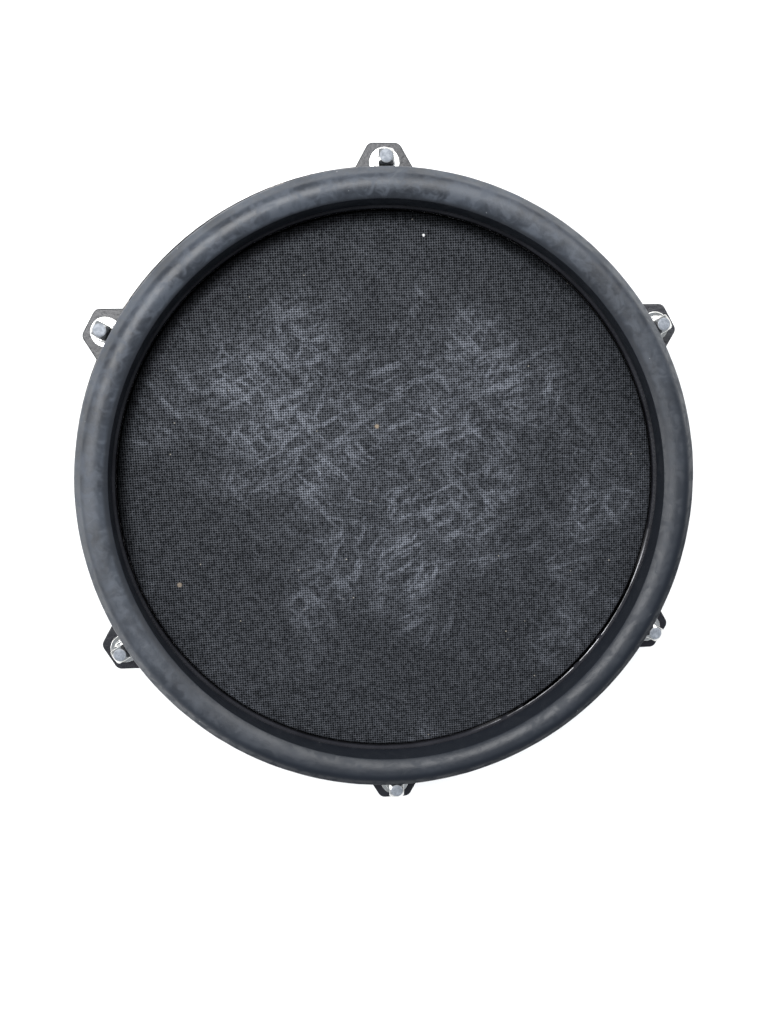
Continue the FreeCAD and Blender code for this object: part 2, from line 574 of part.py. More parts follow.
def clamp_nut():
    nut = hexagon(10.0, 0.0, NUT_Y1 - NUT_Y0 - 0.1).cut(cyl(BOLT_R + 0.06, -1.0, 8.0))
    nut.rotate(ORIGIN, X_AXIS, -90)
    nut.translate(vec(CLAMP_X, NUT_Y0 + 0.05, CLAMP_Z))
    return nut


def clamp_jaw():
    """Sliding jaw with a hollow face for the rod and a seat for the bolt's tip."""
    jaw = box(CLAMP_X - JAW_HALF_X, CLAMP_X + JAW_HALF_X, 2.6, 8.2, CLAMP_Z - JAW_HALF_Z, CLAMP_Z + JAW_HALF_Z)
    return jaw.cut([rod_x(CLAMP_BORE_R, CLAMP_X - 20, CLAMP_X + 20, 0.0, CLAMP_Z),
                    rod_y(2.05, 6.6, 9.0, CLAMP_X, CLAMP_Z)])


def wing_bolt():
    """M6 bolt with two cast wings, its tip held in the jaw."""
    tip = rod_y(2.0, 6.8, 8.4, CLAMP_X, CLAMP_Z)
    shank = rod_y(BOLT_R, 8.3, 22.0, CLAMP_X, CLAMP_Z)
    hub = Part.makeCone(5.6, 4.4, 10.0, vec(CLAMP_X, 21.0, CLAMP_Z), Y_AXIS)
    wing_outline = [(2.0, 22.0, 0.0), (5.5, 21.8, 1.2), (12.0, 27.0, 2.6), (10.6, 34.6, 2.4), (6.2, 30.2, 2.0),
                    (2.0, 30.4, 0.0)]
    wing = plate(wing_outline, -1.5, 1.5)
    wing = wing.makeFillet(0.7, [e for e in wing.Edges if e.BoundBox.XMax > 4.0 and e.BoundBox.ZLength < 1e-6])
    wing.rotate(ORIGIN, Y_AXIS, -90)
    wing.translate(vec(CLAMP_X, 0, CLAMP_Z))
    other = wing.copy()
    other.rotate(vec(CLAMP_X, 0, CLAMP_Z), Y_AXIS, 180)
    return hub.fuse([shank, tip, wing, other]).removeSplitter()


def save(name, shape):
    solids = shape.Solids
    bad = [s for s in solids if not s.isValid() or s.Volume <= 0]
    if not solids or bad:
        raise SystemExit(f"{name}: {len(solids)} solids, {len(bad)} of them not valid")
    kept = solids[0] if len(solids) == 1 else Part.makeCompound(solids)
    kept.exportStep(f"parts/{name}.step")
    print(f"{name}: {len(solids)} solid(s), {sum(s.Volume for s in solids) / 1000:.2f} cm3")


NODES = [
    rim_cover, counter_hoop, flesh_hoop, mesh_head, tension_washers, shell, lug_inserts, base_cover, base_screws,
    sensor_plate, plate_grommets, plate_screws, damping_foam, piezo_cushion, head_piezo_disc, head_piezo_ceramic,
    trigger_cone, rim_piezo_tape, rim_piezo_disc, rim_piezo_ceramic, head_sensor_lead, rim_sensor_lead,
    lead_grommet, jack_contacts, jack_body, jack_bush, jack_washer, jack_nut, clamp_body, clamp_screws,
    clamp_nut, clamp_jaw, wing_bolt,
]

os.makedirs("parts", exist_ok=True)
for make in NODES:
    save(make.__name__, make())
for number, rod in enumerate(round_the_lugs(tension_rod()), start=1):
    save(f"tension_rod_{number}", rod)
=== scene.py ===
"""The mesh-head practice pad's looks, built round its CAD frame. Metres, +Z up, playing face upwards."""
import json
import math

import bmesh
import bpy
import numpy as np
from mathutils import Matrix, Vector, noise


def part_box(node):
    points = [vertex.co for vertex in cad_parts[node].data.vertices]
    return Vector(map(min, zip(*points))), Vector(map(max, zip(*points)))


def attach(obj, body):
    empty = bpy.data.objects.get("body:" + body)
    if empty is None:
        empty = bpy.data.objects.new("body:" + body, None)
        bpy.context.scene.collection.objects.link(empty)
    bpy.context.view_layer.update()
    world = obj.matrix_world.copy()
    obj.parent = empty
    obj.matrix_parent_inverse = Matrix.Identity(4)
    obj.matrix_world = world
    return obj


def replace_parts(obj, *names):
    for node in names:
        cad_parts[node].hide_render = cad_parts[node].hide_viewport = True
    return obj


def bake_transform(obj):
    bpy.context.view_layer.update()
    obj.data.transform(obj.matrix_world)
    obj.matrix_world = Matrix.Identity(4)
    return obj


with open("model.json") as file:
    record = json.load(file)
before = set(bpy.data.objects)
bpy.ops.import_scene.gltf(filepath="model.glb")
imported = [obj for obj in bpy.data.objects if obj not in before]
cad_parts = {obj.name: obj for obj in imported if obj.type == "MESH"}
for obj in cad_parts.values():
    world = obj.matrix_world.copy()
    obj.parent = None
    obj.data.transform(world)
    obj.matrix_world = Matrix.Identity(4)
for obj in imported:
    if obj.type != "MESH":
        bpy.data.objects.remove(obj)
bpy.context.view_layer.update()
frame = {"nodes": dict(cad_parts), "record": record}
MM = 0.001

# Sizes that the frame gives
RIM_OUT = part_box("rim_cover")[1].x
RIM_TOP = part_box("rim_cover")[1].z
HEAD_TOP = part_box("mesh_head")[1].z
ROD_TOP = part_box("tension_rod_1")[1].z
FLANGE_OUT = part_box("counter_hoop")[1].x
# Sizes inside the pieces, as in the CAD
BEAD_MID_Z = RIM_TOP - 6.3 * MM
LIP_R = 104.15 * MM


# Materials

class Look:
    """One procedural material: a Principled shader and the nodes that feed it."""

    def __init__(self, name, **constants):
        self.material = bpy.data.materials.new(name)
        self.material.use_nodes = True
        self.tree = self.material.node_tree
        self.tree.nodes.clear()
        output = self.tree.nodes.new("ShaderNodeOutputMaterial")
        self.shader = self.tree.nodes.new("ShaderNodeBsdfPrincipled")
        self.tree.links.new(self.shader.outputs[0], output.inputs[0])
        self.place = self.add("TexCoord", "Object")
        for socket, value in constants.items():
            self.set(socket.replace("_", " "), value)

    def add(self, kind, out=0, feeds=None, **settings):
        node = self.tree.nodes.new("ShaderNode" + kind)
        for key, value in settings.items():
            setattr(node, key, value)
        for key, value in (feeds or {}).items():
            self.feed(node.inputs[key], value)
        return node.outputs[out]

    def feed(self, socket, value):
        if isinstance(value, bpy.types.NodeSocket):
            self.tree.links.new(value, socket)
        else:
            socket.default_value = value

    def set(self, socket, value):
        self.feed(self.shader.inputs[socket], value)

    def math(self, operation, a, b=0.0, clamp=False):
        return self.add("Math", feeds={0: a, 1: b}, operation=operation, use_clamp=clamp)

    def product(self, a, b, clamp=False):
        return self.math("MULTIPLY", a, b, clamp)

    def scaled(self, x=1.0, y=1.0, z=1.0):
        return self.add("Mapping", feeds={"Vector": self.place, "Scale": (x, y, z)})

    def turned(self, turn, source=None):
        return self.add("Mapping", feeds={"Vector": source or self.place, "Rotation": (0, 0, -turn)})

    def stretched(self, turn, ratio, shift=0.0):
        """Coordinates that draw a pattern out, ratio times as long, along the line at turn to +X."""
        feeds = {"Vector": self.turned(turn), "Scale": (1.0, ratio, 1.0), "Location": (shift, shift, 0)}
        return self.add("Mapping", feeds=feeds)

    def noise(self, scale, detail=3.0, roughness=0.5, distortion=0.0, at=None):
        feeds = {"Vector": at or self.place, "Scale": scale, "Detail": detail, "Roughness": roughness,
                 "Distortion": distortion}
        return self.add("TexNoise", feeds=feeds)

    def cells(self, scale, out="Distance", feature="F1"):
        return self.add("TexVoronoi", out, feeds={"Vector": self.place, "Scale": scale}, feature=feature)

    def span(self, value, low, high, to_low=0.0, to_high=1.0):
        feeds = {"Value": value, "From Min": low, "From Max": high, "To Min": to_low, "To Max": to_high}
        return self.add("MapRange", feeds=feeds, interpolation_type="SMOOTHSTEP")

    def mix(self, share, a, b):
        def colour(value):
            return value if isinstance(value, bpy.types.NodeSocket) else (*value, 1.0)
        return self.add("Mix", 2, feeds={0: share, 6: colour(a), 7: colour(b)}, data_type="RGBA")

    def bump(self, height, depth):
        return self.add("Bump", feeds={"Height": height, "Distance": depth, "Strength": 1.0})

    def axis(self, name, source=None):
        return self.add("SeparateXYZ", name, feeds={0: source or self.place})

    def radius(self):
        """Distance from the pad's axis."""
        x, y = self.axis("X"), self.axis("Y")
        return self.math("SQRT", self.math("ADD", self.product(x, x), self.product(y, y)))

    def towards(self, x, y):
        """How far a place lies along the direction (x, y) from the pad's axis."""
        return self.math("ADD", self.product(self.axis("X"), x), self.product(self.axis("Y"), y))

    def away_from(self, x, y):
        return self.add("VectorMath", "Value", feeds={0: self.place, 1: (x, y, 0)}, operation="DISTANCE")


def rubber_look():
    """Dusty, handled rubber on the bead. The skirt inside the crease is clean and darker. As painted shade,
    the side towards +X -Y is darker and less glossy, and the outer flank is too, most towards +X -Y; as
    painted light, the side towards -X +Y is dustier and lighter."""
    look = Look("rim_rubber_look")
    clouds = look.span(look.noise(70, 5, 0.62), 0.36, 0.66)
    smudges = look.span(look.noise(210, 4, 0.65, 0.8), 0.4, 0.7)
    grain = look.noise(1500, 2, 0.6)
    radius = look.radius()
    # Points towards +X -Y, the side painted darker and less glossy: painted shade.
    painted_shade_side = look.towards(0.5, -0.87)
    handled = look.span(radius, 104.7 * MM, 106 * MM)
    # Painted shade: the outer flank is drawn darker and less glossy, most towards +X -Y.
    flank = look.product(look.span(radius, 109 * MM, 112.2 * MM),
                         look.span(painted_shade_side, -10 * MM, 90 * MM, 0.2, 1.0))

    dust_and_painted_light = look.math("ADD", look.product(clouds, 0.5), look.product(smudges, 0.5))
    dust_and_painted_light = look.product(dust_and_painted_light, look.math("SUBTRACT", handled, look.product(flank, 0.85)), clamp=True)
    # Painted light and shade: the dusty colour is raised towards -X +Y and cut towards +X -Y.
    dust_and_painted_light = look.product(dust_and_painted_light, look.span(painted_shade_side, -110 * MM, 110 * MM, 1.6, 0.15))
    base = look.mix(dust_and_painted_light, (0.0145, 0.0172, 0.0228), (0.048, 0.0565, 0.0715))
    scrapes = look.span(look.noise(34, 6, 0.75, 0.3, at=look.stretched(0.7, 6.0)), 0.63, 0.72)
    base = look.mix(look.product(look.product(scrapes, handled), 0.5), base, (0.075, 0.08, 0.085))
    speck_size = look.span(look.noise(90, 2), 0.5, 0.75, 0.03, 0.13)
    rare = look.math("GREATER_THAN", look.cells(420, "Color"), 0.72)
    specks = look.product(look.math("LESS_THAN", look.cells(420), speck_size), rare)
    look.set("Base Color", look.mix(look.product(specks, 0.6), base, (0.3, 0.31, 0.31)))

    # Painted shade: less gloss on the outer flank and towards +X -Y.
    look.set("Specular IOR Level", look.product(look.span(flank, 0.0, 1.0, 0.5, 0.02),
                                                look.span(painted_shade_side, 50 * MM, 110 * MM, 1.0, 0.72)))
    rough = look.math("ADD", look.product(smudges, 0.7), look.product(grain, 0.25))
    look.set("Roughness", look.span(rough, 0.1, 0.8, 0.36, 0.6))
    height = look.math("ADD", look.product(grain, 0.3), look.noise(420, 4, 0.6))
    look.set("Normal", look.bump(height, 0.05 * MM))
    return look.material


def powder_look():
    """Black powder coat with a fine orange peel, chipped at the flange's edge, where its upright faces are
    drawn darker and duller as painted shade. Towards +X -Y the inner lip is bare, polished steel, a painted
    highlight, and the side towards -Y is duller, a painted shade."""
    look = Look("powder_coat_look")
    radius = look.radius()
    peel = look.noise(900, 3, 0.55)
    tone = look.span(look.noise(60, 4), 0.3, 0.7)
    paint = look.mix(tone, (0.0125, 0.0128, 0.016), (0.024, 0.0246, 0.0295))

    edge = look.span(radius, FLANGE_OUT - 1.0 * MM, FLANGE_OUT - 0.2 * MM)
    patches = look.span(look.noise(75, 4, 0.7, 0.4), 0.58, 0.63)
    lug = look.span(radius, FLANGE_OUT + 0.2 * MM, FLANGE_OUT + 1.2 * MM)
    chips = look.product(look.product(edge, patches, clamp=True), look.math("SUBTRACT", 1.0, lug))
    chipped = look.mix(look.noise(600, 3), (0.42, 0.4, 0.37), (0.2, 0.15, 0.11))
    # Painted shade: by the flange's edge and on the ears, faces that do not look up are drawn darker and far
    # less glossy.
    upright = look.span(look.axis("Z", look.add("TexCoord", "Normal")), 0.72, 0.97, 1.0, 0.0)
    upright_painted_shade = look.product(look.span(radius, FLANGE_OUT - 2.0 * MM, FLANGE_OUT - 1.4 * MM), upright)
    coat = look.mix(chips, look.mix(upright_painted_shade, paint, (0.012, 0.0112, 0.01)), chipped)

    # Painted highlight: towards +X -Y the inner lip is drawn as bare, polished steel with small gaps,
    # standing in for its highlight.
    stretch = look.span(look.towards(1.08, -0.92), 124 * MM, 141 * MM)
    ticks = look.math("LESS_THAN", look.noise(170, 1), 0.63)
    lip = look.span(radius, LIP_R + 0.3 * MM, LIP_R + 0.55 * MM, 1.0, 0.0)
    lip_painted_highlight = look.product(look.product(stretch, ticks), lip)
    steel = look.mix(look.span(look.noise(45, 3), 0.38, 0.6), (0.06, 0.06, 0.062), (0.27, 0.27, 0.28))
    look.set("Base Color", look.mix(lip_painted_highlight, coat, steel))
    look.set("Metallic", look.math("MAXIMUM", chips, lip_painted_highlight))

    flange = look.span(radius, 107 * MM, 112 * MM)
    matt = look.math("MAXIMUM", flange, look.math("SUBTRACT", 1.0, stretch))
    look.set("Roughness", look.math("ADD", look.span(peel, 0.3, 0.7, 0.1, 0.18), look.product(matt, 0.15)))
    # Painted shade: the gloss falls away towards -Y.
    gloss = look.product(look.span(flange, 0.0, 1.0, 0.12, 0.5),
                         look.span(look.towards(0.15, -1.0), -10 * MM, 90 * MM, 1.0, 0.08))
    look.set("Specular IOR Level", look.product(gloss, look.span(upright_painted_shade, 0.0, 1.0, 1.0, 0.12)))
    look.set("Normal", look.bump(look.product(peel, look.math("SUBTRACT", 1.0, lip_painted_highlight)), 0.2 * MM))
    return look.material


# Marks on the mesh: (x, y, radius, colour)
STAINS = [(13.7 * MM, 94.3 * MM, 0.6 * MM, (0.8, 0.8, 0.8)), (-5 * MM, 24 * MM, 1.1 * MM, (0.2, 0.16, 0.12)),
          (-82 * MM, -35 * MM, 1.2 * MM, (0.17, 0.14, 0.11))]
# Where the sticks land: (x, y, reach)
WORN_SPOTS = [(-36 * MM, 36 * MM, 62 * MM), (34 * MM, 34 * MM, 50 * MM), (0.0, -12 * MM, 70 * MM)]
# Directions of the stick strokes: (turn from +X, shift of the pattern, least noise that leaves a mark)
STROKES = [(0.45, 0.0, 0.47), (-0.85, 0.31, 0.48), (1.2, 0.77, 0.52), (-0.3, 1.3, 0.53)]


def woven(look):
    """Height of the two plies' threads, from 0 between them to about 1 on the brightest crossings."""
    pitch = 0.92 * MM
    turn, under_turn = math.radians(2.0), math.radians(44.0)
    pull = look.product(look.math("SUBTRACT", look.noise(16, 2), 0.5), 0.5 * MM)
    drawn = look.add("VectorMath", feeds={0: look.place, 1: pull}, operation="ADD")

    def waves(turn):
        at = look.turned(turn, drawn)
        return [look.math("ABSOLUTE", look.math("COSINE", look.product(look.axis(axis, at), math.pi / pitch)))
                for axis in ("X", "Y")]

    across = waves(turn)
    crown, thread = look.product(*across), look.math("MAXIMUM", *across)
    feeds = {0: look.turned(turn, drawn), 1: (pitch, pitch, 1)}
    snapped = look.add("VectorMath", feeds=feeds, operation="SNAP")
    cell = look.add("TexWhiteNoise", "Value", feeds={"Vector": snapped}, noise_dimensions="2D")
    weave = look.math("ADD", look.math("POWER", thread, 5.0), look.math("POWER", crown, 1.5))
    weave = look.product(weave, look.math("ADD", look.product(cell, 0.58), 0.22))
    under_crown = look.math("POWER", look.product(*waves(under_turn)), 2.0)
    return look.math("ADD", weave, look.product(under_crown, 0.2))


def scuffed_share(look):
    """How pale the sticks have rubbed the mesh: crossing strokes inside a greyer worn area."""
    strokes = None
    for turn, shift, low in STROKES:
        drawn_out = look.stretched(turn, 4.6, shift)
        stroke = look.span(look.noise(60, 2.5, 0.55, 0.2, at=drawn_out), low, low + 0.2)
        shifted = look.add("Mapping", feeds={"Vector": look.place, "Location": (shift, 2, 0)})
        stroke = look.product(stroke, look.span(look.noise(17, 1, 0.5, at=shifted), 0.36, 0.56))
        strokes = stroke if strokes is None else look.math("MAXIMUM", strokes, stroke)
    worn = look.noise(19, 4, 0.6)
    for x, y, reach in WORN_SPOTS:
        worn = look.math("ADD", worn, look.span(look.away_from(x, y), 0.2 * reach, reach, 0.17, 0.0))
    worn = look.span(worn, 0.46, 0.78)
    strokes = look.product(strokes, look.math("ADD", look.product(worn, 0.9), 0.06))
    return look.math("ADD", strokes, look.product(worn, 0.16), clamp=True)


def mesh_look():
    """Two plies of plain-woven polyester, scuffed pale by stick tips, with crumbs and stains. The pattern
    lies in the cloth's own plane, its crowns painted lighter and its gaps darker as painted highlight and
    shade. Beside the lip, the side towards -X +Y carries a painted shade."""
    look = Look("mesh_look")
    look.place = look.add("UVMap", "UV", uv_map="cloth")
    weave = woven(look)
    # The weave's height sets its colour too: the crowns are a painted highlight and the gaps between threads
    # a painted shade.
    clean = look.mix(weave, (0.0002, 0.0003, 0.0004), (0.034, 0.0376, 0.0456))
    scuffed = look.mix(weave, (0.002, 0.0023, 0.0028), (0.165, 0.178, 0.208))
    colour = look.mix(scuffed_share(look), clean, scuffed)
    crumbs = look.product(look.math("LESS_THAN", look.cells(260), 0.075),
                          look.math("GREATER_THAN", look.cells(260, "Color"), 0.8))
    colour = look.mix(look.product(crumbs, 0.6), colour, (0.3, 0.28, 0.24))
    for x, y, size, tint in STAINS:
        colour = look.mix(look.span(look.away_from(x, y), 0.45 * size, size, 1.0, 0.0), colour, tint)
    # Painted shade: beside the lip, the cloth on the -X +Y side is drawn towards black, with less sheen.
    lip_painted_shade = look.product(look.span(look.radius(), 97.8 * MM, 102.2 * MM),
                            look.span(look.towards(-0.5, 0.87), 0.0, 60 * MM, 0.0, 0.8))
    look.set("Base Color", look.mix(lip_painted_shade, colour, (0.0, 0.0, 0.0)))
    sheen = look.product(look.math("SUBTRACT", 1.0, lip_painted_shade), 0.4)
    look.set("Specular IOR Level", look.product(weave, sheen))
    look.set("Roughness", look.span(weave, 0.0, 1.0, 0.8, 0.55))
    look.set("Normal", look.bump(weave, 0.12 * MM))
    return look.material


def metal_look(name, tint, dull, rough, pits=0.0, brushed=0.0):
    """Metal between a bright and a dull tint, with dark pits and brushing along X."""
    look = Look(name, Metallic=1.0)
    haze = look.noise(260, 4, 0.6)
    spots = look.span(look.noise(1100, 3, 0.65), 0.66, 0.74)
    colour = look.mix(look.span(haze, 0.35, 0.7), tint, dull)
    look.set("Base Color", look.mix(look.product(spots, pits), colour, (0.12, 0.09, 0.07)))
    marked = look.math("ADD", haze, look.product(spots, pits))
    look.set("Roughness", look.span(marked, 0.3, 1.2, rough, rough + 0.22))
    height = look.noise(700, 2)
    if brushed:
        height = look.noise(900, 3, 0.6, at=look.scaled(x=0.04, y=1.0, z=1.0))
    look.set("Normal", look.bump(height, (0.004 + 0.02 * brushed) * MM))
    return look.material


def chrome_look():
    """Bright plate, with the flat tops of the drum-key heads dull from the key."""
    look = Look("chrome_look")
    haze = look.noise(260, 4, 0.6)
    spots = look.span(look.noise(1100, 3, 0.65), 0.64, 0.7)
    plate = look.mix(look.span(haze, 0.35, 0.7), (0.74, 0.74, 0.73), (0.6, 0.59, 0.56))
    plate = look.mix(spots, plate, (0.12, 0.09, 0.07))
    top = look.span(look.axis("Z"), ROD_TOP - 0.3 * MM, ROD_TOP - 0.1 * MM)
    worn = look.mix(look.span(look.noise(900, 4, 0.7), 0.3, 0.7), (0.13, 0.145, 0.17), (0.26, 0.28, 0.31))
    look.set("Base Color", look.mix(top, plate, worn))
    look.set("Metallic", look.span(top, 0.0, 1.0, 1.0, 0.15))
    smooth = look.span(haze, 0.3, 1.0, 0.07, 0.2)
    look.set("Roughness", look.math("MAXIMUM", smooth, look.product(top, 0.5)))
    look.set("Normal", look.bump(look.noise(700, 2), 0.006 * MM))
    return look.material


def plastic_look(name, dark, light, rough=0.5, grain=2200, depth=0.02, wear=0.0):
    """Moulded plastic or rubber with a fine grain, depth mm deep, and pale rubs where it is worn."""
    look = Look(name)
    tone = look.span(look.noise(38, 5, 0.6), 0.3, 0.72)
    spark = look.noise(grain, 2, 0.5)
    rubs = look.span(look.noise(55, 6, 0.7, 0.5, at=look.scaled(x=1.0, y=1.0, z=3.0)), 0.58, 0.74)
    colour = look.mix(tone, dark, light)
    look.set("Base Color", look.mix(look.product(rubs, wear), colour, [4.0 * c for c in light]))
    look.set("Roughness", look.span(look.math("ADD", spark, tone), 0.5, 1.5, rough - 0.06, rough + 0.1))
    look.set("Normal", look.bump(spark, depth * MM))
    return look.material


def foam_look():
    """Open-cell foam."""
    look = Look("foam_look", Roughness=0.95, Sheen_Weight=0.2)
    cells = look.cells(1500, feature="SMOOTH_F1")
    holes = look.span(cells, 0.15, 0.6)
    tone = look.noise(70, 4)
    dark = look.mix(tone, (0.02, 0.02, 0.021), (0.035, 0.035, 0.036))
    # Painted shade: the cells' hollows are drawn near black.
    look.set("Base Color", look.mix(holes, (0.006, 0.006, 0.006), dark))
    look.set("Normal", look.bump(holes, 0.25 * MM))
    return look.material


def ceramic_look():
    """Fired piezo ceramic."""
    look = Look("ceramic_look", Specular_IOR_Level=0.5)
    fired = look.noise(400, 4, 0.6)
    look.set("Base Color", look.mix(fired, (0.72, 0.7, 0.64), (0.84, 0.82, 0.78)))
    look.set("Roughness", look.span(fired, 0.3, 0.7, 0.35, 0.5))
    look.set("Normal", look.bump(fired, 0.01 * MM))
    return look.material


LOOKS = {
    "rim_rubber": rubber_look(),
    "powder_coat": powder_look(),
    "mesh": mesh_look(),
    "aluminium": metal_look("aluminium_look", (0.62, 0.62, 0.63), (0.5, 0.5, 0.51), 0.3, brushed=0.6),
    "chrome": chrome_look(),
    "shell_plastic": plastic_look("shell_plastic_look", (0.014, 0.0145, 0.016), (0.022, 0.0225, 0.024),
                                  wear=0.35),
    "brass": metal_look("brass_look", (0.78, 0.58, 0.3), (0.6, 0.43, 0.22), 0.22, pits=0.3, brushed=0.5),
    "black_steel": metal_look("black_steel_look", (0.05, 0.05, 0.052), (0.03, 0.03, 0.03), 0.38, pits=0.2),
    "plate_steel": metal_look("plate_steel_look", (0.6, 0.6, 0.6), (0.46, 0.46, 0.47), 0.32,
                              pits=0.3, brushed=1.0),
    "soft_rubber": plastic_look("soft_rubber_look", (0.016, 0.016, 0.017), (0.03, 0.03, 0.031), 0.62,
                                grain=900, depth=0.04),
    "foam": foam_look(),
    "ceramic": ceramic_look(),
    "lead_pvc": plastic_look("lead_pvc_look", (0.02, 0.02, 0.022), (0.04, 0.04, 0.043), 0.42,
                             grain=1500, depth=0.01),
    "jack_plastic": plastic_look("jack_plastic_look", (0.014, 0.014, 0.015), (0.024, 0.024, 0.026), 0.36,
                                 grain=1700, depth=0.02),
    "nickel": metal_look("nickel_look", (0.72, 0.69, 0.64), (0.58, 0.55, 0.5), 0.14, pits=0.6),
    "clamp_plastic": plastic_look("clamp_plastic_look", (0.018, 0.018, 0.019), (0.03, 0.03, 0.032), 0.5,
                                  grain=1900, depth=0.03, wear=0.3),
    "jaw_metal": metal_look("jaw_metal_look", (0.42, 0.42, 0.43), (0.3, 0.3, 0.3), 0.42, pits=0.7),
}
for part in frame["record"]["subparts"]:
    mesh = frame["nodes"][part["node"]].data
    mesh.materials.clear()
    mesh.materials.append(LOOKS[part["material_slot"]])


# Mesh tools

def piece(name, points, faces, slot, body=None, weld=False):
    """A smooth-shaded object in the pad's frame, with its slot's material."""
    mesh = bpy.data.meshes.new(name)
    mesh.from_pydata([tuple(p) for p in points], [], [tuple(f) for f in faces])
    build = bmesh.new()
    build.from_mesh(mesh)
    if weld:
        bmesh.ops.remove_doubles(build, verts=build.verts, dist=1e-6)
    bmesh.ops.recalc_face_normals(build, faces=build.faces)
    build.to_mesh(mesh)
    build.free()
    mesh.materials.append(LOOKS[slot])
    mesh.shade_smooth()
    made = bpy.data.objects.new(name, mesh)
    bpy.context.scene.collection.objects.link(made)
    if body:
        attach(made, body)
    return made


def ring_grid(profile, segments, closed=True):
    """Points and faces of a profile of (radius, height) turned about +Z. A closed profile joins its last
    point to its first, and an open one may start or end on the axis."""
    foot = profile[0][0] < 1e-9
    tip = not closed and profile[-1][0] < 1e-9
    rings = np.array(profile[1 if foot else 0:-1 if tip else None])
    angles = np.linspace(0, math.tau, segments, endpoint=False)
    x = rings[:, :1] * np.cos(angles)
    y = rings[:, :1] * np.sin(angles)
    z = np.repeat(rings[:, 1:], segments, axis=1)
    points = np.stack([x, y, z], axis=-1).reshape(-1, 3)
    rows = len(rings)
    around = [(k, (k + 1) % segments) for k in range(segments)]
    faces = []
    for i in range(rows if closed else rows - 1):
        j = (i + 1) % rows
        faces += [(i * segments + k, i * segments + m, j * segments + m, j * segments + k) for k, m in around]
    for on_axis, row, z in ((foot, 0, profile[0][1]), (tip, rows - 1, profile[-1][1])):
        if on_axis:
            points = np.vstack([points, [0, 0, z]])
            faces += [(len(points) - 1, row * segments + k, row * segments + m) for k, m in around]
    return points, faces


def arc(middle, radius, start, end, steps):
    """(radius, height) points on an arc, from start to end degrees, both ends included."""
    angles = np.radians(np.linspace(start, end, steps))
    return [(middle[0] + radius * math.cos(a), middle[1] + radius * math.sin(a)) for a in angles]


def rounded(corners, steps=5, closed=True):
    """(radius, height) points along corners of (radius, height, rounding)."""
    made = []
    n = len(corners)
    for i, (r, z, rounding) in enumerate(corners):
        here = Vector((r, z))
        if rounding <= 0 or (not closed and i in (0, n - 1)):
            made.append(here)
            continue
        u = (Vector(corners[i - 1][:2]) - here).normalized()
        v = (Vector(corners[(i + 1) % n][:2]) - here).normalized()
        half = u.angle(v) / 2
        reach = rounding / math.tan(half)
        a, b = here + u * reach, here + v * reach
        middle = here + (u + v).normalized() * (rounding / math.sin(half))
        for t in np.linspace(0, 1, steps):
            spoke = (a - middle).lerp(b - middle, t).normalized()
            made.append(middle + spoke * rounding)
    return [tuple(p) for p in made]


def even(points, step, closed=True):
    """The same line with points added so that no run is longer than step."""
    made = []
    pairs = zip(points, points[1:] + points[:1]) if closed else zip(points, points[1:])
    for a, b in pairs:
        a, b = Vector(a), Vector(b)
        parts = max(1, math.ceil((b - a).length / step))
        made += [tuple(a.lerp(b, i / parts)) for i in range(parts)]
    return made if closed else made + [points[-1]]


# Rim and mesh

